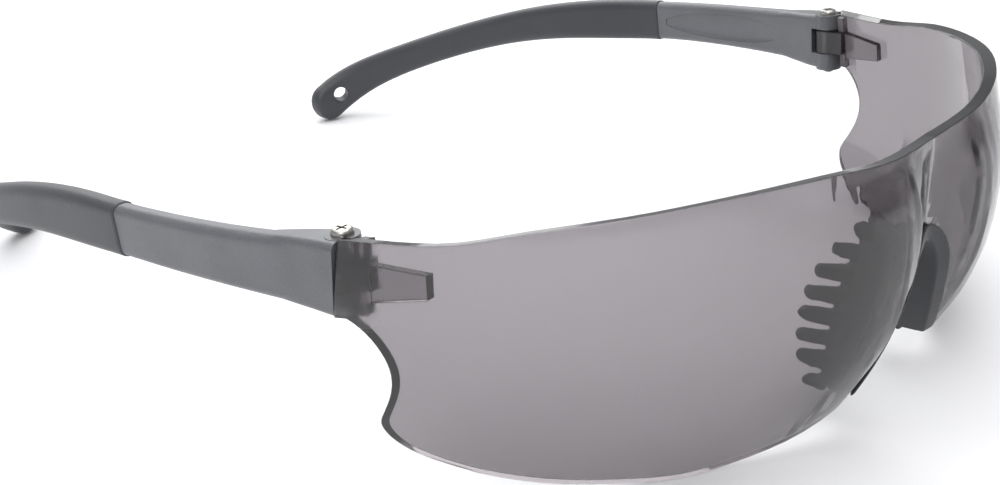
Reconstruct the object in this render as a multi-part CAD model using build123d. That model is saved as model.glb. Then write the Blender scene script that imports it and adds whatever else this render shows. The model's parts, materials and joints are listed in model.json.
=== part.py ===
from build123d import *
import os
from math import cos, exp, radians, sin, sqrt, tan

# Safety glasses, in millimetres. The wearer faces -Y, +Z is up, and the wearer's left is +X.
# Everything is first modelled in a wearing frame, with its origin at the middle of the lens's
# top edge and the hinge axes vertical, and is then set down on the lens's edge and the tips.

# ---- lens -----------------------------------------------------------------------------------
# The plan of each half is a chain of tangent arcs from the middle outwards: (length, turn).
PLAN_ARCS = ((11.4, 0.0), (17.1, 22.0), (53.2, 48.0), (11.8, 2.0))
PLAN_FRONT = -0.55          # foremost line of the domes' plan
LENS_THICKNESS = 2.0
DOME_RADIUS = 57.4          # vertical curvature
DOME_HEIGHT = -14.7         # height of the foremost line
FORWARD_TILT = 8.5          # degrees that the lens leans, with its lower edge towards the cheek
TOP_EDGE = ((0, 0), (13.3, 0.75), (26.6, 2.0), (40, 2.2), (53, 1.7), (66.5, 0.8), (80, -0.9), (95, -0.85))
BOTTOM_EDGE = ((0, -36.8), (14, -36.9), (24, -39.2), (33, -40.3), (43, -40.9), (53, -39.7),
               (63, -38.4), (71, -36.8), (77, -35.2), (83, -33.0), (88, -30.2), (95, -27))
# The bridge is a valley between the two domes. By height: its depth, how far the domes' inner
# crests stand forward, and how far from the middle plane the flanks of the valley lie.
VALLEY_DEPTH = ((-41, 0.0), (-15, 1.6), (-6, 1.6), (0, 0.55))
CREST_HEIGHT = ((-41, 0.2), (-36, 0.9), (-28, 2.0), (-20, 2.4), (-8, 2.0), (-3, 0.8), (0, 0.0))
FLANK_OFFSET = ((-38, 12.2), (-27, 8.9), (-21, 7.2), (-10.5, 5.5), (0, 4.5))
FLANK_WIDTH = 12.0
CREST_FADE = 15.0
COLUMN_STEP = 3.0
ROWS = 13

# The nose cut-out seen from the front, and the C-shaped notch under each hinge seen from the side.
NOSE_TOP = -14.4
NOSE_SIDE = ((3.2, -16.6), (5.4, -21.2), (7.3, -26.8), (10.2, -33.0), (13.4, -38.5), (15.0, -45.0))
NOTCH_RADIUS = 9.0
NOTCH_CENTRE = (55.4, -18.5)
NOTCH_CEILING = -11.4
CORNER = (50.3, -28.0)      # rearmost point of the lower temple corner

# ---- hinge ----------------------------------------------------------------------------------
HINGE_X = 63.8
HINGE_Y = 53.4
KNUCKLE_RADIUS = 2.4
KNUCKLE_LOW = -8.4
KNUCKLE_HIGH = -4.2
GAP = 0.3                   # between pieces that move past each other
SCREW_RADIUS = 1.0
SCREW_CLEARANCE = 0.05
SCREW_HEAD_RADIUS = 1.55
SCREW_HEAD_HEIGHT = 0.9
SCREW_HEAD_ROUNDING = 0.55
CROSS_LENGTH = 1.9          # the recess in the screw's head
CROSS_WIDTH = 0.4
CROSS_DEPTH = 0.5
SCREW_FLOOR = 0.4           # plastic left under the screw's end
HEAD_TOP = -1.2             # top of the temple's hinge head
HEAD_BOTTOM = -11.9
LUG_LENGTH = 1.4
LUG_THICKNESS = 1.4
RIB_LENGTH = 8.2
RIB_THICKNESS = 1.2
RIB_ROOT_HALF = 2.6
RIB_TIP_HALF = 1.6
RIB_DROP = 0.7
SINK = 0.3                  # how deep joined bodies reach into each other
# Front end of an arm: (place along Y, inner X, outer X, height); the last one lies inside the blade.
HEAD_STATIONS = ((50.5, 61.7, 67.4, 10.7), (53.0, 61.7, 67.5, 10.6), (55.5, 61.9, 67.6, 10.4),
                 (59.0, 62.9, 67.8, 10.0), (62.5, 64.2, 68.1, 9.5), (67.0, 65.6, 67.8, 8.0))
HEAD_CORNER = 1.1
BOSS_RADIUS = 1.5           # round boss under the lower ear

# ---- temple arms ----------------------------------------------------------------------------
# Centre line of an arm: points, then half height and half thickness at each of them.
ARM_LINE = ((65.0, 54.5, -6.5), (67.2, 68.2, -6.6), (68.6, 92.3, -6.8), (67.4, 111.8, -7.7),
            (66.0, 127.5, -9.4), (63.2, 144.6, -12.9), (54.6, 163.5, -18.6), (45.6, 177.6, -25.7),
            (38.6, 180.0, -30.2))
ARM_HALF_HEIGHT = (5.2, 4.5, 4.0, 4.0, 3.6, 3.2, 3.2, 4.0, 4.3)
ARM_HALF_THICK = (2.0, 1.8, 1.7, 1.9, 2.1, 2.2, 2.2, 2.2, 2.1)
SLEEVE_START = 0.30         # fractions of the arm's centre line
TONGUE_END = 0.80
SLEEVE_STEP = 0.25          # how far the sleeve stands proud of the arm
TONGUE_SHRINK = 1.1         # wall of the sleeve
TIP_ROUNDING = 4.2
BLADE_START = 0.03
SECTION_CORNER = 0.8        # corner radius of an arm's section, as a share of its half thickness
DISH = (0.075, 0.285)       # the shallow pocket in the blade's inner face, as shares of the line
DISH_DEPTH = 0.8
DISH_RIM = 1.5              # full-thickness rim above and below the pocket
LANYARD_AT = 0.945
LANYARD_RADIUS = 1.75

# ---- nosepiece ------------------------------------------------------------------------------
BEAD_FRONT = 0.6            # lip in front of the lens
BEAD_REAR = 1.3             # lip behind it
BEAD_COVER = 1.2            # how far the lips reach over the lens
BEAD_INSIDE = 1.3           # rubber inside the cut-out
PAD_WALL = 1.7
BEAD_END = -36.0
RIM_POINTS = 21
BRIDGE_REACH = 24.0
FINGERS = 8
FIRST_FINGER = 2.3          # along the arch from its top
FINGER_PITCH = 3.25
FINGER_LENGTHS = ((0, 3.6), (1, 4.9), (3, 6.5), (5, 6.6), (6, 6.0), (7, 4.4))
FINGER_WIDTH = 2.8
FINGER_TIP_WIDTH = 2.1
FINGER_OVERLAP = 1.2        # how deep a finger's root reaches into the saddle
FINGER_ROUNDING = 0.45
FINGER_THICKNESS = 1.5
FINGER_SPLAY = 35.0         # degrees outwards from straight back
# Rear rim of the saddle seen from the side, where the fingers start: (height, rearward place).
ROOT_LINE = ((-44, 12.9), (-34, 13.7), (-29, 13.9), (-24, 13.7), (-18, 12.5), (-14, 10.7), (-6, 9.3))


def hermite(table, at):
    """Smooth value through (position, value) pairs, without overshoot at the ends."""
    last = len(table) - 1
    at = min(max(at, table[0][0]), table[last][0])
    i = max(k for k in range(last) if table[k][0] <= at)
    (x0, y0), (x1, y1) = table[i], table[i + 1]

    def slope(k):
        a = table[max(k - 1, 0)]
        b = table[min(k + 1, last)]
        return (b[1] - a[1]) / (b[0] - a[0])

    h = x1 - x0
    t = (at - x0) / h
    rise = y1 - y0
    m0 = slope(i) * h
    m1 = slope(i + 1) * h
    return y0 + t * m0 + t * t * (3 * rise - 2 * m0 - m1) + t ** 3 * (m0 + m1 - 2 * rise)


def plan(s):
    """Point and heading of the lens's plan at arc length s from the middle."""
    side = 1 if s >= 0 else -1
    left = abs(s)
    x = y = heading = 0.0
    for length, turn in PLAN_ARCS:
        part = min(left, length)
        bend = radians(turn) * part / length
        chord = part if bend == 0 else part * sin(bend / 2) / (bend / 2)
        x += chord * cos(heading + bend / 2)
        y += chord * sin(heading + bend / 2)
        heading += bend
        left -= part
    x += left * cos(heading)
    y += left * sin(heading)
    return side * x, y + PLAN_FRONT, side * heading


def relief(x, z):
    """How far the outer surface stands in front of a plain toric shell."""
    valley = hermite(VALLEY_DEPTH, z)
    crest = hermite(CREST_HEIGHT, z)
    foot = hermite(FLANK_OFFSET, z) - FLANK_WIDTH / 2
    u = min(max((abs(x) - foot) / FLANK_WIDTH, 0.0), 1.0)
    past = max(abs(x) - foot - FLANK_WIDTH, 0.0)
    crest *= exp(-(past / CREST_FADE) ** 2)
    return u * u * (3 - 2 * u) * (valley + crest) - valley


def outer_point(s, z):
    x, y, heading = plan(s)
    inset = (z - DOME_HEIGHT) ** 2 / (2 * DOME_RADIUS)
    lean = -z * tan(radians(FORWARD_TILT))
    return Vector(x - sin(heading) * inset, y + cos(heading) * inset + lean - relief(x, z), z)


def skin_point(s, v, depth):
    """Point of the lens at plan length s and height share v, depth under the outer surface."""
    low = hermite(BOTTOM_EDGE, abs(s))
    high = hermite(TOP_EDGE, abs(s))
    z = low + (high - low) * v
    along = outer_point(s + 0.2, z) - outer_point(s - 0.2, z)
    up = outer_point(s, z + 0.2) - outer_point(s, z - 0.2)
    inward = up.cross(along).normalized()
    if inward.Y < 0 and abs(s) < 60:
        inward = inward * -1
    if abs(s) >= 60 and inward.X * s > 0:
        inward = inward * -1
    return outer_point(s, z) + inward * depth


def skin(depth, reach):
    columns = 2 * round(reach / COLUMN_STEP)
    grid = []
    for c in range(columns + 1):
        s = -reach + 2 * reach * c / columns
        grid.append([skin_point(s, r / (ROWS - 1), depth) for r in range(ROWS)])
    return Face.make_surface_from_array_of_points(grid, tol=0.02)


def slab(front_depth, rear_depth, reach):
    """Closed shell between two depths under the lens's outer surface."""
    return closed_between(skin(front_depth, reach), skin(rear_depth, reach))


def closed_between(front, rear):
    """Solid between two four-sided skins that lie one behind the other."""
    rims = []
    for edge in front.edges():
        mate = min(rear.edges(), key=lambda e: (e.center() - edge.center()).length)
        rims.append(Face.make_surface_from_curves(edge, mate))
    solid = Solid(Shell([front, rear] + rims))
    if solid.volume < 0:
        solid = Solid(Shell([-f for f in solid.faces()]))
    return solid


def lens_reach():
    return sum(length for length, _ in PLAN_ARCS)


def nose_outline(grow):
    """Face of the nose cut-out in the XZ plane, grown outwards by grow."""
    left = [(-x, 0, z) for x, z in reversed(NOSE_SIDE)]
    rim = Spline(*left, (0, 0, NOSE_TOP), *[(x, 0, z) for x, z in NOSE_SIDE])
    if grow:
        points = []
        for k in range(RIM_POINTS):
            share = k / (RIM_POINTS - 1)
            ahead = rim % share
            points.append(rim @ share + Vector(-ahead.Z, 0, ahead.X) * grow)
        rim = Spline(*points)
    return Face(Wire([rim, Line(rim @ 1, rim @ 0)]))


def nose_prism(grow, start=-30.0, depth=80.0):
    return Solid.extrude(nose_outline(grow).moved(Location((0, start, 0))), Vector(0, depth, 0))


def notch_prism():
    """Everything behind the C-notch and the lower temple corner, across the whole width."""
    cy, cz = NOTCH_CENTRE
    ceiling_y = cy - sqrt(NOTCH_RADIUS ** 2 - (NOTCH_CEILING - cz) ** 2)
    lower = (CORNER[0] - 1.1, CORNER[1] + 2.2)
    with BuildSketch(Plane.YZ) as sketch:
        with BuildLine():
            Line((80, NOTCH_CEILING), (ceiling_y + 1.2, NOTCH_CEILING))
            Spline((ceiling_y + 1.2, NOTCH_CEILING), (ceiling_y, NOTCH_CEILING - 0.8),
                   (cy - NOTCH_RADIUS, cz), lower, CORNER, (49.4, -30.8), (45.0, -33.9), (38.0, -37.6))
            Polyline((38.0, -37.6), (38.0, -60), (80, -60), (80, NOTCH_CEILING))
        make_face()
    return Solid.extrude(sketch.sketch.face().moved(Location((-90, 0, 0))), Vector(180, 0, 0))


def cylinder_at(radius, low, high):
    """Upright cylinder on the left hinge axis."""
    return Pos(HINGE_X, HINGE_Y, (low + high) / 2) * Cylinder(radius, high - low)


def block(x0, x1, y0, y1, z0, z1):
    return Pos((x0 + x1) / 2, (y0 + y1) / 2, (z0 + z1) / 2) * Box(x1 - x0, y1 - y0, z1 - z0)


def united(*shapes):
    """One solid fused from several that touch or overlap."""
    whole = shapes[0].fuse(*shapes[1:]) if len(shapes) > 1 else shapes[0]
    return max(whole.solids(), key=lambda s: s.volume)


def cut(shape, *tools):
    """The largest solid that is left of a shape."""
    return max(shape.cut(*tools).solids(), key=lambda s: s.volume)


def common(shape, tool):
    return max(shape.intersect(tool).solids(), key=lambda s: s.volume)


def both_sides(shape):
    return [shape, mirror(shape, Plane.YZ)]


def rib_prism(rear_y, middle):
    """The rib seen from the side: it narrows forwards from the lug."""
    tip_y = rear_y - LUG_LENGTH - RIB_LENGTH
    root_y = rear_y - LUG_LENGTH + SINK
    with BuildSketch(Plane.YZ) as sketch:
        with BuildLine():
            Polyline((root_y, middle - RIB_ROOT_HALF), (tip_y, middle - RIB_TIP_HALF),
                     (tip_y, middle + RIB_TIP_HALF), (root_y, middle + RIB_ROOT_HALF), close=True)
        make_face()
    return Solid.extrude(sketch.sketch.face().moved(Location((40, 0, 0))), Vector(40, 0, 0))


def make_lens():
    reach = lens_reach()
    shell = cut(slab(0, LENS_THICKNESS, reach), notch_prism(), nose_prism(0))
    rear_y = HINGE_Y - KNUCKLE_RADIUS - GAP
    lug = block(50, 70, rear_y - LUG_LENGTH, rear_y, HEAD_BOTTOM + 0.6, HEAD_TOP - 0.2)
    lug = common(slab(LENS_THICKNESS - SINK, LENS_THICKNESS + LUG_THICKNESS, reach), lug)
    rib = rib_prism(rear_y, (KNUCKLE_LOW + KNUCKLE_HIGH) / 2 - RIB_DROP)
    rib = common(slab(LENS_THICKNESS - SINK, LENS_THICKNESS + RIB_THICKNESS, reach), rib)
    neck = block(HINGE_X - KNUCKLE_RADIUS, HINGE_X + KNUCKLE_RADIUS - 0.4, rear_y - LUG_LENGTH,
                 HINGE_Y, KNUCKLE_LOW, KNUCKLE_HIGH)
    knuckle = cylinder_at(KNUCKLE_RADIUS, KNUCKLE_LOW, KNUCKLE_HIGH)
    swing = cylinder_at(KNUCKLE_RADIUS + GAP, HEAD_BOTTOM - 3, HEAD_TOP + 3)
    bore = cylinder_at(SCREW_RADIUS + SCREW_CLEARANCE, -30, 10)
    lens = united(shell, *both_sides(lug), *both_sides(rib))
    lens = cut(lens, *both_sides(swing))
    lens = united(lens, *both_sides(knuckle), *both_sides(neck))
    return cut(lens, *both_sides(bore))


# ---- temple arms, tip sleeves and screws ------------------------------------------------------
def arm_station(line, share):
    """Plane square to the arm's centre line, with its Y axis upwards across the arm."""
    ahead = line % share
    side = ahead.cross(Vector(0, 0, 1)).normalized()
    return Plane(origin=line @ share, x_dir=side, z_dir=ahead)


def arm_knots(line):
    """Share of the centre line's length at each point of ARM_LINE."""
    return [line.param_at_point(Vector(*point)) for point in ARM_LINE]


def arm_section(line, knots, share, shrink, end_share):
    """Rounded section of the arm; near end_share it closes like the end of a paddle."""
    heights = list(zip(knots, ARM_HALF_HEIGHT))
    widths = list(zip(knots, ARM_HALF_THICK))
    half_height = hermite(heights, share) - shrink
    half_thick = hermite(widths, share) - shrink
    rest = (end_share - share) * line.length
    if rest < TIP_ROUNDING:
        closing = sqrt(max(1 - (1 - rest / TIP_ROUNDING) ** 2, 0.0))
        half_height *= closing
        half_thick *= closing ** 0.5
    corner = SECTION_CORNER * min(half_thick, half_height)
    plane = arm_station(line, share)
    return plane * RectangleRounded(2 * half_thick, 2 * half_height, corner)


def arm_loft(line, shares, shrink, end_share=1.0):
    knots = arm_knots(line)
    sections = [arm_section(line, knots, share, shrink, end_share) for share in shares]
    return loft(sections).solid()


def spread(first, last, count):
    return [first + (last - first) * k / (count - 1) for k in range(count)]


def closing_shares(line, end_share):
    """Stations that get closer together towards the rounded end."""
    reach = TIP_ROUNDING / line.length
    return [end_share - reach * rest for rest in (1.0, 0.75, 0.5, 0.28, 0.12, 0.03)]


def make_dish(line):
    """The shallow pocket in the blade's inner face, running out at both ends."""
    knots = arm_knots(line)
    heights = list(zip(knots, ARM_HALF_HEIGHT))
    widths = list(zip(knots, ARM_HALF_THICK))
    sections = []
    for share in spread(*DISH, 7):
        middle = 2 * (share - DISH[0]) / (DISH[1] - DISH[0]) - 1
        fullness = sqrt(1 - 0.93 * middle ** 2)
        depth = DISH_DEPTH * fullness
        half_height = (hermite(heights, share) - DISH_RIM) * fullness
        face = Pos(-hermite(widths, share), 0) * RectangleRounded(2 * depth, 2 * half_height, 0.9 * depth)
        sections.append(arm_station(line, share) * face)
    return loft(sections).solid()


def make_arm(line):
    tongue_end = closing_shares(line, TONGUE_END)
    blade = cut(arm_loft(line, spread(BLADE_START, SLEEVE_START, 7), 0), make_dish(line))
    tongue = arm_loft(line, spread(SLEEVE_START - 0.01, tongue_end[0] - 0.03, 10) + tongue_end,
                      TONGUE_SHRINK, TONGUE_END)
    return united(blade, tongue)


def make_sleeve(line, arm):
    end = closing_shares(line, 1.0)
    outer = arm_loft(line, spread(SLEEVE_START, end[0] - 0.02, 12) + end, -SLEEVE_STEP)
    hole_plane = arm_station(line, LANYARD_AT)
    axis = Plane(origin=hole_plane.origin, x_dir=hole_plane.z_dir, z_dir=hole_plane.x_dir)
    hole = axis * Cylinder(LANYARD_RADIUS, 20)
    return cut(outer, arm, hole)


def arm_line():
    return Spline(*ARM_LINE)


def make_head():
    """Front end of the left arm: the outer cheek, two ears and the slot for the knuckle."""
    middle = (HEAD_TOP + HEAD_BOTTOM) / 2
    sections = []
    for y, inner, outer, height in HEAD_STATIONS:
        plane = Plane(origin=((inner + outer) / 2, y, middle), x_dir=(1, 0, 0), z_dir=(0, 1, 0))
        corner = min(HEAD_CORNER, 0.45 * (outer - inner))
        sections.append(plane * RectangleRounded(outer - inner, height, corner))
    head = loft(sections).solid()
    in_front = block(50, HINGE_X + KNUCKLE_RADIUS - 0.6, 40, HINGE_Y, -20, 5)
    ears = cylinder_at(KNUCKLE_RADIUS, HEAD_BOTTOM, HEAD_TOP)
    boss = Pos(HINGE_X, HINGE_Y, HEAD_BOTTOM + 0.6) * Sphere(BOSS_RADIUS)
    head = united(cut(head, in_front), ears, boss)
    low = KNUCKLE_LOW - GAP
    high = KNUCKLE_HIGH + GAP
    reach = KNUCKLE_RADIUS + GAP
    slot = block(50, HINGE_X + 0.5, 40, HINGE_Y + reach, low, high)
    slot_front = block(50, HINGE_X + reach, 40, HINGE_Y, low, high)
    lens_end = slab(-3, LENS_THICKNESS + GAP, lens_reach() + GAP)
    screw_hole = cylinder_at(SCREW_RADIUS, HEAD_BOTTOM + SCREW_FLOOR, 5)
    return cut(head, slot, slot_front, cylinder_at(reach, low, high), lens_end, screw_hole)


def make_screw():
    head = cylinder_at(SCREW_HEAD_RADIUS, HEAD_TOP, HEAD_TOP + SCREW_HEAD_HEIGHT)
    top_edge = head.edges().filter_by(GeomType.CIRCLE).sort_by(Axis.Z)[-1]
    head = fillet(top_edge, SCREW_HEAD_ROUNDING).solid()
    shank = cylinder_at(SCREW_RADIUS, HEAD_BOTTOM + SCREW_FLOOR, HEAD_TOP + 0.1)
    top = HEAD_TOP + SCREW_HEAD_HEIGHT
    arms = ((CROSS_LENGTH, CROSS_WIDTH), (CROSS_WIDTH, CROSS_LENGTH))
    slots = [Pos(HINGE_X, HINGE_Y, top) * Box(a, b, 2 * CROSS_DEPTH) for a, b in arms]
    return cut(united(head, shank), *slots)


# ---- nosepiece --------------------------------------------------------------------------------
def arch_curve():
    left = [(-x, 0, z) for x, z in reversed(NOSE_SIDE[:-1])]
    return Spline(*left, (0, 0, NOSE_TOP), *[(x, 0, z) for x, z in NOSE_SIDE[:-1]])


def arch_at(curve, along):
    """Point, heading and outward direction of the arch, along mm from its top."""
    share = 0.5 + along / curve.length
    point = curve @ share
    ahead = curve % share
    return point, ahead, Vector(-ahead.Z, 0, ahead.X)


def behind_bridge(near, far):
    """Space between two copies of the lens's bridge, near and far mm behind its front."""
    grids = []
    for depth in (near, far):
        columns = [BRIDGE_REACH * (c - 10) / 10 for c in range(21)]
        grids.append([[outer_point(s, -46 + 4 * r) + Vector(0, depth, 0) for r in range(12)]
                      for s in columns])
    skins = [Face.make_surface_from_array_of_points(grid, tol=0.02) for grid in grids]
    return closed_between(*skins)


def behind_roots():
    """Everything behind the saddle's rear rim."""
    rim = [(y, z) for z, y in ROOT_LINE]
    with BuildSketch(Plane.YZ) as sketch:
        with BuildLine():
            Spline(*rim)
            Polyline(rim[-1], (60, rim[-1][1]), (60, rim[0][1]), rim[0])
        make_face()
    return Solid.extrude(sketch.sketch.face().moved(Location((-30, 0, 0))), Vector(60, 0, 0))


def make_saddle():
    wall = cut(nose_prism(PAD_WALL - BEAD_INSIDE), nose_prism(-BEAD_INSIDE))
    lips = cut(nose_prism(BEAD_COVER), nose_prism(-BEAD_INSIDE))
    wall = common(wall, behind_bridge(LENS_THICKNESS, 25))
    wall = cut(wall, behind_roots(), block(-30, 30, -10, 60, -60, BEAD_END))
    bead = common(lips, behind_bridge(-BEAD_FRONT, LENS_THICKNESS + BEAD_REAR))
    bead = cut(bead, block(-30, 30, -10, 60, -60, BEAD_END))
    return united(bead, wall)


def finger_outline(length):
    """Flat outline of a finger along X, which tapers to a round tip."""
    root = FINGER_WIDTH / 2
    tip = FINGER_TIP_WIDTH / 2
    bend = length / 2 - tip
    sides = [Line((-length / 2, root), (bend, tip)), Line((bend, -tip), (-length / 2, -root))]
    ends = [ThreePointArc((bend, tip), (length / 2, 0), (bend, -tip)),
            Line((-length / 2, -root), (-length / 2, root))]
    return Face(Wire([sides[0], ends[0], sides[1], ends[1]]))


def make_finger(curve, number, side):
    along = side * (FIRST_FINGER + FINGER_PITCH * number)
    point, ahead, outward = arch_at(curve, along)
    length = hermite(FINGER_LENGTHS, number)
    splay = radians(FINGER_SPLAY)
    lengthways = Vector(0, cos(splay), 0) + outward * sin(splay)
    place = point + outward * (PAD_WALL / 2 - BEAD_INSIDE)
    root = Vector(place.X, hermite(ROOT_LINE, place.Z) - FINGER_OVERLAP, place.Z)
    middle = root + lengthways * (length / 2)
    plane = Plane(origin=middle, x_dir=lengthways, z_dir=lengthways.cross(ahead))
    outline = finger_outline(length).moved(Location(plane))
    blank = extrude(outline, FINGER_THICKNESS / 2, both=True)
    return fillet(blank.edges(), FINGER_ROUNDING).solid()


def make_nosepiece():
    curve = arch_curve()
    fingers = [make_finger(curve, number, side) for number in range(FINGERS) for side in (-1, 1)]
    groove = cut(slab(0, LENS_THICKNESS, lens_reach()), nose_prism(0))
    return united(cut(make_saddle(), groove), *fingers)


# ---- setting down -----------------------------------------------------------------------------
def low_point(shape, tilt):
    return shape.rotate(Axis.X, -tilt).bounding_box().min


def rest_tilt(lens, sleeve):
    """Degrees that the glasses lean back when the lens's edge and both tips touch the table."""
    tilt = 0.0
    for _ in range(4):
        rise = low_point(sleeve, tilt).Z - low_point(lens, tilt).Z
        tilt += rise / radians(1) / (ARM_LINE[-2][1] - 20)
    return tilt


def placed(shapes, tilt):
    """All pieces set down, with the origin under the middle of their common box."""
    turned = {name: shape.rotate(Axis.X, -tilt) for name, shape in shapes.items()}
    boxes = [shape.bounding_box() for shape in turned.values()]
    front = min(box.min.Y for box in boxes)
    back = max(box.max.Y for box in boxes)
    home = Vector(0, -(front + back) / 2, -min(box.min.Z for box in boxes))
    return {name: shape.moved(Location(home)) for name, shape in turned.items()}, home


def make_all():
    line = arm_line()
    lens = make_lens()
    arm = united(make_arm(line), make_head())
    sleeve = make_sleeve(line, arm)
    screw = make_screw()
    shapes = {"lens": lens, "nosepiece": make_nosepiece()}
    for name, left in (("temple_arm", arm), ("tip_sleeve", sleeve), ("hinge_screw", screw)):
        shapes["left_" + name] = left
        shapes["right_" + name] = mirror(left, Plane.YZ).solid()
    tilt = rest_tilt(lens, sleeve)
    shapes, home = placed(shapes, tilt)
    hinge = Vector(HINGE_X, HINGE_Y, (KNUCKLE_LOW + KNUCKLE_HIGH) / 2).rotate(Axis.X, -tilt) + home
    hole = arm_station(line, LANYARD_AT)
    print("tilt", tilt, "home", home)
    print("hinge", hinge, "axis", Vector(0, 0, 1).rotate(Axis.X, -tilt))
    print("lanyard", hole.origin.rotate(Axis.X, -tilt) + home, "axis", hole.x_dir.rotate(Axis.X, -tilt))
    return shapes


if __name__ == "__main__":
    os.makedirs("parts", exist_ok=True)
    for name, shape in make_all().items():
        export_step(shape, f"parts/{name}.step")
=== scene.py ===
"""One-lens safety glasses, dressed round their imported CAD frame.

The CAD nodes carry the shapes: a smoke lens with its moulded hinge lugs, a nosepiece, and two
temples, each an arm, a tip sleeve and a hinge screw. This script gives each of them its finish,
rolls over the sharp edges of the three rubber ones, and sets the glasses on a pale studio floor
under soft light.
"""

import json
import logging
import math
from dataclasses import dataclass, field
from enum import Enum

import bpy
from mathutils import Matrix, Vector

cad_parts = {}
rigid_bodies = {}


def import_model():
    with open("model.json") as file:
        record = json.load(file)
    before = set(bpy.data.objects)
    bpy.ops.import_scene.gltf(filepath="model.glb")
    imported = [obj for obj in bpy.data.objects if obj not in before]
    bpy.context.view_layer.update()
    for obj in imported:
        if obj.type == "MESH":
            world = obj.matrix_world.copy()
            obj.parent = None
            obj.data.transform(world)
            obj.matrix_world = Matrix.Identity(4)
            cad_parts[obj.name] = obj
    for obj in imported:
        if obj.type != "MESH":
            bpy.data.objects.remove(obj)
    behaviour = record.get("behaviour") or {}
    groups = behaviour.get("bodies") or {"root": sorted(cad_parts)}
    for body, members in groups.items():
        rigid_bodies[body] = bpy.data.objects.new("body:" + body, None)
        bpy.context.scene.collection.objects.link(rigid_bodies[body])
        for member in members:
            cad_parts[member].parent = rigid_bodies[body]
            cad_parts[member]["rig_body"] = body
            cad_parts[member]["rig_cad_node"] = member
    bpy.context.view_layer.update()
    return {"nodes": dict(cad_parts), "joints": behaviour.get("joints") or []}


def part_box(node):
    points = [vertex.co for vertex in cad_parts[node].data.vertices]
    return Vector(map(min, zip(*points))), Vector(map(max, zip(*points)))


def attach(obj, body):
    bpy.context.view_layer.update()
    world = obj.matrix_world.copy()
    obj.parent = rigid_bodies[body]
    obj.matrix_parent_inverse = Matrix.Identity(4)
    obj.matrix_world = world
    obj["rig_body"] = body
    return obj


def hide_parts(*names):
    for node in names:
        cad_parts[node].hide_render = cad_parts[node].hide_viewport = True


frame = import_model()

logging.basicConfig(level=logging.INFO, format="%(message)s")
log = logging.getLogger("safety_glasses")

MM = 0.001
MERGE_DISTANCE = 1e-6
WAVE_RADIANS = 20.0  # a wave texture turns through this many radians in one unit, at a scale of 1


def linear(code: str) -> tuple[float, float, float, float]:
    """Turns an sRGB hex colour into the linear one that a shader takes.

    Args:
        code: six hex digits, with or without the hash.

    Returns:
        Red, green, blue and an alpha of 1.
    """
    digits = code.lstrip("#")
    parts = [int(digits[i : i + 2], 16) / 255 for i in (0, 2, 4)]
    red, green, blue = [
        p / 12.92 if p <= 0.04045 else ((p + 0.055) / 1.055) ** 2.4 for p in parts
    ]
    return red, green, blue, 1.0


def per_metre(size_mm: float) -> float:
    """Texture scale whose features are this many millimetres apart."""
    return 1.0 / (size_mm * MM)


def add_node(
    tree: bpy.types.NodeTree,
    kind: str,
    settings: dict[str, object] | None = None,
    links: dict[str, bpy.types.NodeSocket] | None = None,
) -> bpy.types.Node:
    """Adds one node, sets it and links it.

    Args:
        tree: the node tree of the material or world.
        kind: the node's type, without its "ShaderNode" start.
        settings: its own settings and its inputs' values, by name. An input that is meant by its
            number is written "#1".
        links: the sockets that feed its inputs, by the same names.

    Returns:
        The node.
    """
    node = tree.nodes.new("ShaderNode" + kind)

    def socket(name: str) -> bpy.types.NodeSocket:
        """The input of that name or number."""
        return node.inputs[int(name[1:])] if name.startswith("#") else node.inputs[name]

    for name, value in (settings or {}).items():
        if hasattr(node, name):
            setattr(node, name, value)
        else:
            socket(name).default_value = value
    for name, source in (links or {}).items():
        tree.links.new(source, socket(name))
    return node


def blank_material(name: str) -> bpy.types.Material:
    """Makes a material with an empty node tree.

    Args:
        name: the material's name.

    Returns:
        The material.
    """
    material = bpy.data.materials.new(name)
    material.use_nodes = True
    material.node_tree.nodes.clear()
    return material


class Side(Enum):
    """The wearer's two sides, with the sign of their X."""

    LEFT = 1
    RIGHT = -1

    def node(self, part: str) -> str:
        """The CAD node of a part on this side."""
        return f"{self.name.lower()}_{part}"

    @property
    def body(self) -> str:
        """The CAD body of this side's temple."""
        return self.node("temple")


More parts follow.
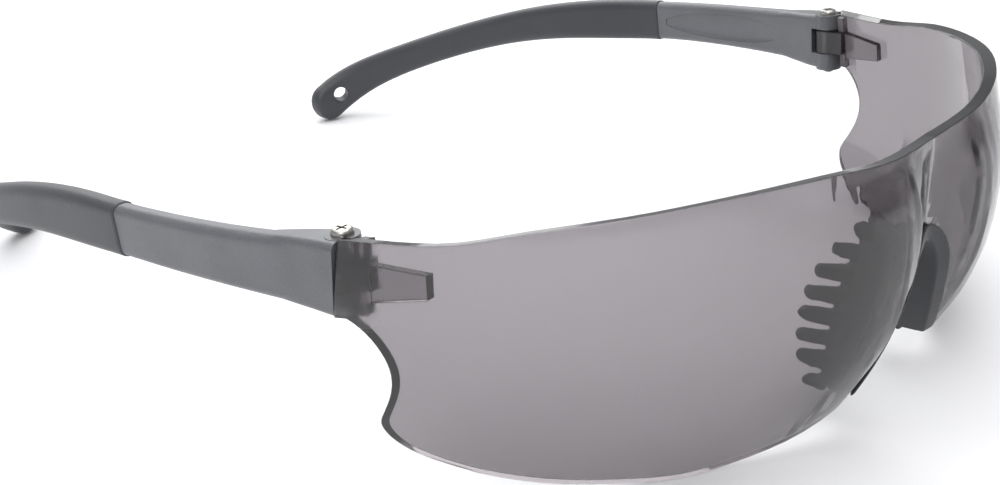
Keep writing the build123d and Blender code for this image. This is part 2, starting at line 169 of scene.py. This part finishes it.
@dataclass(frozen=True)
class SmokeLensPolycarbonate:
    """Optical polycarbonate, injection moulded with a smoke dye and dipped in a hard coat.

    The dye is through the whole wall, so the lens darkens with the length of plastic that light
    crosses: pale where it is met square on, and dark along the cut edge and in the thick hinge
    lugs. The coat leaves it glossy, with a few faint scuffs, and the lugs are satin.
    """

    name: str = "polycarbonate_smoke_hard_coated"
    dye: str = "#5a3f52"
    dye_per_metre: float = 680.0
    lamp_share: str = "#b4b0b3"
    ior: float = 1.586
    roughness: float = 0.008
    scuff_roughness: float = 0.05
    ripple_mm: float = 26.0
    ripple_height_mm: float = 0.012
    scuff_mm: float = 1.4
    scuff_onset: tuple[float, float] = (0.62, 0.85)
    edge_mm: float = 0.3
    edge_samples: int = 6
    lug_roughness: float = 0.34
    lug_front_y: tuple[float, float] = (-0.0438, -0.0420)
    lug_foot_z: tuple[float, float] = (0.0255, 0.0270)

    def build(self) -> bpy.types.Material:
        """Builds the lens finish.

        Returns:
            The material.
        """
        material = blank_material(self.name)
        tree = material.node_tree
        where = add_node(tree, "TexCoord").outputs["Object"]
        ripple = add_node(
            tree,
            "TexNoise",
            {"Scale": per_metre(self.ripple_mm), "Detail": 1.0},
            {"Vector": where},
        )
        broken_edge = add_node(
            tree, "Bevel", {"samples": self.edge_samples, "Radius": self.edge_mm * MM}
        )
        bump = add_node(
            tree,
            "Bump",
            {"Strength": 1.0, "Distance": self.ripple_height_mm * MM},
            {"Height": ripple.outputs["Fac"], "Normal": broken_edge.outputs["Normal"]},
        )
        scuffs = add_node(
            tree,
            "TexNoise",
            {"Scale": per_metre(self.scuff_mm), "Detail": 4.0},
            {"Vector": where},
        )
        haze = add_node(
            tree,
            "MapRange",
            {
                "From Min": self.scuff_onset[0],
                "From Max": self.scuff_onset[1],
                "To Min": self.roughness,
                "To Max": self.scuff_roughness,
            },
            {"Value": scuffs.outputs["Fac"]},
        )
        gloss = add_node(
            tree,
            "Math",
            {"operation": "MAXIMUM"},
            {"#0": haze.outputs["Result"], "#1": self.lug_satin(tree, where)},
        )
        wall = add_node(
            tree,
            "BsdfPrincipled",
            {"Base Color": linear("#ffffff"), "Transmission Weight": 1.0, "IOR": self.ior},
            {"Roughness": gloss.outputs["Value"], "Normal": bump.outputs["Normal"]},
        )
        open_wall = add_node(tree, "BsdfTransparent", {"Color": linear(self.lamp_share)})
        rays = add_node(tree, "LightPath")
        surface = add_node(
            tree,
            "MixShader",
            None,
            {
                "#0": rays.outputs["Is Shadow Ray"],
                "#1": wall.outputs["BSDF"],
                "#2": open_wall.outputs["BSDF"],
            },
        )
        smoke = add_node(
            tree, "VolumeAbsorption", {"Color": linear(self.dye), "Density": self.dye_per_metre}
        )
        add_node(
            tree,
            "OutputMaterial",
            None,
            {"Surface": surface.outputs["Shader"], "Volume": smoke.outputs["Volume"]},
        )
        return material

    def lug_satin(
        self, tree: bpy.types.NodeTree, where: bpy.types.NodeSocket
    ) -> bpy.types.NodeSocket:
        """Finds the roughness of the hinge lugs, which the mould leaves satin.

        Args:
            tree: the lens's node tree.
            where: Object coordinates.

        Returns:
            A roughness that is zero away from the lugs.
        """
        place = add_node(tree, "SeparateXYZ", None, {"Vector": where})
        rear = add_node(
            tree,
            "MapRange",
            {"From Min": self.lug_front_y[0], "From Max": self.lug_front_y[1]},
            {"Value": place.outputs["Y"]},
        )
        above = add_node(
            tree,
            "MapRange",
            {
                "From Min": self.lug_foot_z[0],
                "From Max": self.lug_foot_z[1],
                "To Max": self.lug_roughness,
            },
            {"Value": place.outputs["Z"]},
        )
        both = add_node(
            tree,
            "Math",
            {"operation": "MULTIPLY"},
            {"#0": rear.outputs["Result"], "#1": above.outputs["Result"]},
        )
        return both.outputs["Value"]


@dataclass(frozen=True)
class FrostedPolycarbonate:
    """Clear-smoke polycarbonate moulded against a spark-eroded tool face.

    The tool leaves a fine satin grain, so light goes through but nothing is seen through it: thin
    panels glow and thick edges stay dark. The real grain is finer than this one, which is drawn
    as coarse as it needs to be to show.
    """

    name: str = "polycarbonate_frosted_smoke"
    body_colour: str = "#9a9ba0"
    dark_colour: str = "#55575d"
    dye: str = "#4b4c52"
    dye_per_metre: float = 380.0
    ior: float = 1.586
    transmission: float = 0.55
    roughness: float = 0.42
    roughness_swing: float = 0.08
    grain_mm: float = 0.3
    grain_height_mm: float = 0.05
    grain_strength: float = 0.8
    cloud_mm: float = 7.0
    speckle: float = 0.55

    def build(self) -> bpy.types.Material:
        """Builds the satin finish.

        Returns:
            The material.
        """
        material = blank_material(self.name)
        tree = material.node_tree
        where = add_node(tree, "TexCoord").outputs["Object"]
        cloud = add_node(
            tree,
            "TexNoise",
            {"Scale": per_metre(self.cloud_mm), "Detail": 3.0},
            {"Vector": where},
        )
        grain = add_node(
            tree,
            "TexNoise",
            {"Scale": per_metre(self.grain_mm), "Detail": 2.0},
            {"Vector": where},
        )
        speckle = add_node(
            tree,
            "Mix",
            {"data_type": "FLOAT", "#0": self.speckle},
            {"#2": cloud.outputs["Fac"], "#3": grain.outputs["Fac"]},
        )
        colour = add_node(
            tree,
            "Mix",
            {"data_type": "RGBA", "#6": linear(self.dark_colour), "#7": linear(self.body_colour)},
            {"#0": speckle.outputs[0]},
        )
        bump = add_node(
            tree,
            "Bump",
            {"Strength": self.grain_strength, "Distance": self.grain_height_mm * MM},
            {"Height": grain.outputs["Fac"]},
        )
        satin = add_node(
            tree,
            "MapRange",
            {
                "To Min": self.roughness - self.roughness_swing,
                "To Max": self.roughness + self.roughness_swing,
            },
            {"Value": grain.outputs["Fac"]},
        )
        skin = add_node(
            tree,
            "BsdfPrincipled",
            {"Transmission Weight": self.transmission, "IOR": self.ior},
            {
                "Base Color": colour.outputs[2],
                "Roughness": satin.outputs["Result"],
                "Normal": bump.outputs["Normal"],
            },
        )
        smoke = add_node(
            tree, "VolumeAbsorption", {"Color": linear(self.dye), "Density": self.dye_per_metre}
        )
        add_node(
            tree,
            "OutputMaterial",
            None,
            {"Surface": skin.outputs["BSDF"], "Volume": smoke.outputs["Volume"]},
        )
        return material


@dataclass(frozen=True)
class MouldedElastomer:
    """Thermoplastic rubber, injection moulded in a lightly blasted tool.

    It is matt, soft-looking and slightly dusty, and a little worn in patches.
    """

    name: str
    colour: str
    worn_colour: str
    roughness: float = 0.62
    worn_smoother: float = 0.1
    worn_rougher: float = 0.12
    grain_mm: float = 0.45
    grain_height_mm: float = 0.04
    grain_strength: float = 0.6
    patch_mm: float = 14.0
    sheen: float = 0.15
    sheen_roughness: float = 0.4
    ior: float = 1.5

    def build(self) -> bpy.types.Material:
        """Builds the rubber finish.

        Returns:
            The material.
        """
        material = blank_material(self.name)
        tree = material.node_tree
        where = add_node(tree, "TexCoord").outputs["Object"]
        patches = add_node(
            tree,
            "TexNoise",
            {"Scale": per_metre(self.patch_mm), "Detail": 5.0},
            {"Vector": where},
        )
        grain = add_node(
            tree,
            "TexVoronoi",
            {"Scale": per_metre(self.grain_mm), "Randomness": 1.0},
            {"Vector": where},
        )
        colour = add_node(
            tree,
            "Mix",
            {"data_type": "RGBA", "#6": linear(self.colour), "#7": linear(self.worn_colour)},
            {"#0": patches.outputs["Fac"]},
        )
        bump = add_node(
            tree,
            "Bump",
            {"Strength": self.grain_strength, "Distance": self.grain_height_mm * MM},
            {"Height": grain.outputs["Distance"]},
        )
        matt = add_node(
            tree,
            "MapRange",
            {
                "To Min": self.roughness - self.worn_smoother,
                "To Max": self.roughness + self.worn_rougher,
            },
            {"Value": patches.outputs["Fac"]},
        )
        skin = add_node(
            tree,
            "BsdfPrincipled",
            {
                "IOR": self.ior,
                "Sheen Weight": self.sheen,
                "Sheen Roughness": self.sheen_roughness,
            },
            {
                "Base Color": colour.outputs[2],
                "Roughness": matt.outputs["Result"],
                "Normal": bump.outputs["Normal"],
            },
        )
        add_node(tree, "OutputMaterial", None, {"Surface": skin.outputs["BSDF"]})
        return material


@dataclass(frozen=True)
class PlatedSteel:
    """Zinc-plated steel, turned and then tumbled.

    It is a warm silver, slightly tarnished, with a faint turning ring on its head.
    """

    name: str
    axis: Vector
    centre: Vector
    colour: str = "#c4c2bd"
    dull_colour: str = "#8f8d89"
    roughness: float = 0.3
    bright_smoother: float = 0.08
    tarnish_rougher: float = 0.12
    ring_mm: float = 1.3823
    ring_height_mm: float = 0.008
    ring_strength: float = 0.5
    ring_wobble: float = 0.4
    tarnish_mm: float = 1.2

    def build(self) -> bpy.types.Material:
        """Builds the plated finish, with its rings centred on the screw.

        Returns:
            The material.
        """
        material = blank_material(self.name)
        tree = material.node_tree
        where = add_node(tree, "TexCoord").outputs["Object"]
        turn = self.axis.rotation_difference(Vector((0, 0, 1))).to_euler()
        upright = add_node(
            tree,
            "Mapping",
            {
                "vector_type": "POINT",
                "Rotation": turn,
                "Location": -(turn.to_matrix() @ self.centre),
            },
            {"Vector": where},
        )
        rings = add_node(
            tree,
            "TexWave",
            {
                "wave_type": "RINGS",
                "rings_direction": "Z",
                "Scale": per_metre(self.ring_mm) * math.tau / WAVE_RADIANS,
                "Distortion": self.ring_wobble,
            },
            {"Vector": upright.outputs["Vector"]},
        )
        tarnish = add_node(
            tree,
            "TexNoise",
            {"Scale": per_metre(self.tarnish_mm), "Detail": 3.0},
            {"Vector": where},
        )
        colour = add_node(
            tree,
            "Mix",
            {"data_type": "RGBA", "#6": linear(self.colour), "#7": linear(self.dull_colour)},
            {"#0": tarnish.outputs["Fac"]},
        )
        bump = add_node(
            tree,
            "Bump",
            {"Strength": self.ring_strength, "Distance": self.ring_height_mm * MM},
            {"Height": rings.outputs["Fac"]},
        )
        polish = add_node(
            tree,
            "MapRange",
            {
                "To Min": self.roughness - self.bright_smoother,
                "To Max": self.roughness + self.tarnish_rougher,
            },
            {"Value": tarnish.outputs["Fac"]},
        )
        skin = add_node(
            tree,
            "BsdfPrincipled",
            {"Metallic": 1.0},
            {
                "Base Color": colour.outputs[2],
                "Roughness": polish.outputs["Result"],
                "Normal": bump.outputs["Normal"],
            },
        )
        add_node(tree, "OutputMaterial", None, {"Surface": skin.outputs["BSDF"]})
        return material


@dataclass(frozen=True)
class StudioPaint:
    """Matt white studio paint, rolled: nearly even, with a faint cloudiness."""

    name: str = "matt_paint_studio_white"
    colour: str = "#f4f4f5"
    shade: str = "#efeff1"
    roughness: float = 0.9
    ior: float = 1.3
    cloud_mm: float = 180.0

    def build(self) -> bpy.types.Material:
        """Builds the floor's finish.

        Returns:
            The material.
        """
        material = blank_material(self.name)
        tree = material.node_tree
        where = add_node(tree, "TexCoord").outputs["Object"]
        cloud = add_node(
            tree, "TexNoise", {"Scale": per_metre(self.cloud_mm)}, {"Vector": where}
        )
        colour = add_node(
            tree,
            "Mix",
            {"data_type": "RGBA", "#6": linear(self.shade), "#7": linear(self.colour)},
            {"#0": cloud.outputs["Fac"]},
        )
        paint = add_node(
            tree,
            "BsdfPrincipled",
            {"Roughness": self.roughness, "IOR": self.ior},
            {"Base Color": colour.outputs[2]},
        )
        add_node(tree, "OutputMaterial", None, {"Surface": paint.outputs["BSDF"]})
        return material


def dress(name: str, material: bpy.types.Material) -> None:
    """Gives a CAD node its finish.

    Args:
        name: the CAD node.
        material: its finish, for all its faces.
    """
    piece = frame["nodes"][name]
    for slot in piece.material_slots:
        slot.material = material
    if not piece.material_slots:
        piece.data.materials.append(material)
    log.info("%s: %s", name, material.name)


@dataclass
class SoftMoulding:
    """A rubber moulding made from its CAD solid, with its sharp edges rolled over as in rubber."""

    node: str
    body: str
    slot: str
    finish: bpy.types.Material
    skin_mm: float = 0.22
    roll_share: float = 0.5
    rolls: int = 6

    def build(self) -> bpy.types.Object:
        """Makes the soft piece, which stands for its CAD node.

        Returns:
            The finished piece.
        """
        piece = self.copy_solid()
        self.roll_edges(piece)
        piece.data.materials.clear()
        piece.data.materials.append(self.finish)
        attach(piece, self.body)
        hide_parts(self.node)
        log.info("%s: %d faces, %s", piece.name, len(piece.data.polygons), self.finish.name)
        return piece

    def copy_solid(self) -> bpy.types.Object:
        """Copies the CAD mesh and joins its loose triangles into one skin.

        Returns:
            The copy, selected and active.
        """
        bpy.ops.object.select_all(action="DESELECT")
        source = frame["nodes"][self.node]
        source.select_set(True)
        bpy.context.view_layer.objects.active = source
        bpy.ops.object.duplicate()
        piece = bpy.context.active_object
        piece.name = f"{self.node}_moulding"
        piece.parent = None
        piece.matrix_world = Matrix.Identity(4)
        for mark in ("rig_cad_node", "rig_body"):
            del piece[mark]
        bpy.ops.object.mode_set(mode="EDIT")
        bpy.ops.mesh.select_all(action="SELECT")
        bpy.ops.mesh.remove_doubles(threshold=MERGE_DISTANCE)
        bpy.ops.object.mode_set(mode="OBJECT")
        return piece

    def roll_edges(self, piece: bpy.types.Object) -> None:
        """Lays an even skin over the moulding and rolls its edges over.

        Args:
            piece: the merged copy, selected and active.
        """
        skin = piece.modifiers.new("even_skin", "REMESH")
        skin.mode = "VOXEL"
        skin.voxel_size = self.skin_mm * MM
        bpy.ops.object.modifier_apply(modifier=skin.name)
        roll = piece.modifiers.new("rolled_edges", "SMOOTH")
        roll.factor = self.roll_share
        roll.iterations = self.rolls
        bpy.ops.object.modifier_apply(modifier=roll.name)
        bpy.ops.object.shade_smooth()


@dataclass
class FrontShield:
    """The one-piece lens and the nosepiece clipped under its bridge."""

    lens_finish: SmokeLensPolycarbonate = field(default_factory=SmokeLensPolycarbonate)
    nose_finish: MouldedElastomer = field(
        default_factory=lambda: MouldedElastomer("tpe_nosepiece_dark_grey", "#27282b", "#37383c")
    )

    def build(self) -> None:
        """Dresses the lens and the nosepiece."""
        dress("lens", self.lens_finish.build())
        SoftMoulding("nosepiece", "front", "nose_rubber", self.nose_finish.build()).build()


@dataclass
class Temple:
    """One side's arm, tip sleeve and hinge screw."""

    side: Side
    arm_finish: bpy.types.Material
    sleeve_finish: bpy.types.Material

    def build(self) -> None:
        """Dresses this side's three nodes."""
        joint = next(j for j in frame["joints"] if j["child"] == self.side.body)
        dress(self.side.node("temple_arm"), self.arm_finish)
        SoftMoulding(
            self.side.node("tip_sleeve"),
            self.side.body,
            "tip_rubber",
            self.sleeve_finish,
            skin_mm=0.28,
            rolls=5,
        ).build()
        low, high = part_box(self.side.node("hinge_screw"))
        plating = PlatedSteel(
            name=f"steel_zinc_plated_{self.side.name.lower()}",
            axis=Vector(joint["axis"]).normalized(),
            centre=(low + high) / 2,
        )
        dress(self.side.node("hinge_screw"), plating.build())


@dataclass
class Softbox:
    """A rectangular soft lamp that faces a point."""

    name: str
    place: tuple[float, float, float]
    aim: tuple[float, float, float]
    width: float
    height: float
    watts: float

    def build(self) -> bpy.types.Object:
        """Makes the lamp.

        Returns:
            The lamp's object.
        """
        data = bpy.data.lights.new(self.name, "AREA")
        data.shape = "RECTANGLE"
        data.size = self.width
        data.size_y = self.height
        data.energy = self.watts
        lamp = bpy.data.objects.new(self.name, data)
        bpy.context.scene.collection.objects.link(lamp)
        lamp.location = self.place
        lamp.rotation_mode = "QUATERNION"
        beam = Vector(self.aim) - Vector(self.place)
        lamp.rotation_quaternion = beam.to_track_quat("-Z", "Y")
        log.info("lamp %s: %.1f W", self.name, self.watts)
        return lamp


@dataclass
class Studio:
    """The pale floor, the soft light and the camera."""

    floor_side: float = 8.0
    floor_gap: float = 0.0002
    sky: str = "#e6e7ea"
    sky_strength: float = 0.62
    camera_place: tuple[float, float, float] = (-0.16990, -0.16122, 0.10729)
    camera_turn_degrees: tuple[float, float, float] = (66.4994, 2.5108, -50.3758)
    lens_mm: float = 49.18
    sensor_mm: float = 36.0
    shift: tuple[float, float] = (-0.04075, -0.01147)
    nearest: float = 0.01

    def build(self) -> None:
        """Makes the floor, the lamps, the sky and the camera."""
        self.lay_floor()
        self.hang_lamps()
        self.paint_sky()
        self.set_camera()

    def lay_floor(self) -> None:
        """Lays a wide matt sheet under the glasses."""
        bpy.ops.object.select_all(action="DESELECT")
        bpy.ops.mesh.primitive_plane_add(size=self.floor_side, location=(0, 0, -self.floor_gap))
        floor = bpy.context.active_object
        floor.name = "studio_floor"
        floor.data.materials.append(StudioPaint().build())

    def hang_lamps(self) -> None:
        """Hangs a wide overhead lamp, a key on the wearer's front right and a fill behind."""
        Softbox(
            "overhead",
            place=(0.05, 0.1, 1.1),
            aim=(0, 0, 0),
            width=1.4,
            height=1.4,
            watts=13.5,
        ).build()
        Softbox(
            "key",
            place=(-0.9, -0.5, 0.8),
            aim=(0, 0, 0),
            width=0.8,
            height=0.8,
            watts=5.5,
        ).build()
        Softbox(
            "back",
            place=(0.7, 0.9, 0.6),
            aim=(0, 0, 0.02),
            width=0.9,
            height=0.6,
            watts=5.5,
        ).build()

    def paint_sky(self) -> None:
        """Surrounds the glasses with an even pale glow."""
        world = bpy.data.worlds.new("studio_surround")
        world.use_nodes = True
        tree = world.node_tree
        tree.nodes.clear()
        glow = add_node(
            tree, "Background", {"Color": linear(self.sky), "Strength": self.sky_strength}
        )
        add_node(tree, "OutputWorld", None, {"Surface": glow.outputs["Background"]})
        bpy.context.scene.world = world

    def set_camera(self) -> None:
        """Stands the camera on the wearer's front right, a little above, facing the lens."""
        data = bpy.data.cameras.new("camera")
        data.sensor_width = self.sensor_mm
        data.lens = self.lens_mm
        data.shift_x, data.shift_y = self.shift
        data.clip_start = self.nearest
        camera = bpy.data.objects.new("camera", data)
        bpy.context.scene.collection.objects.link(camera)
        camera.location = self.camera_place
        camera.rotation_euler = [math.radians(a) for a in self.camera_turn_degrees]
        bpy.context.scene.camera = camera


def main() -> None:
    """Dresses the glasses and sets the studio."""
    FrontShield().build()
    arm_finish = FrostedPolycarbonate().build()
    sleeve_finish = MouldedElastomer(
        "tpr_tip_sleeve_black", "#2a2c2f", "#3c3e42", roughness=0.5
    ).build()
    for side in Side:
        Temple(side, arm_finish, sleeve_finish).build()
    Studio().build()
    bpy.context.scene.view_settings.view_transform = "Standard"


if __name__ == "__main__":
    main()
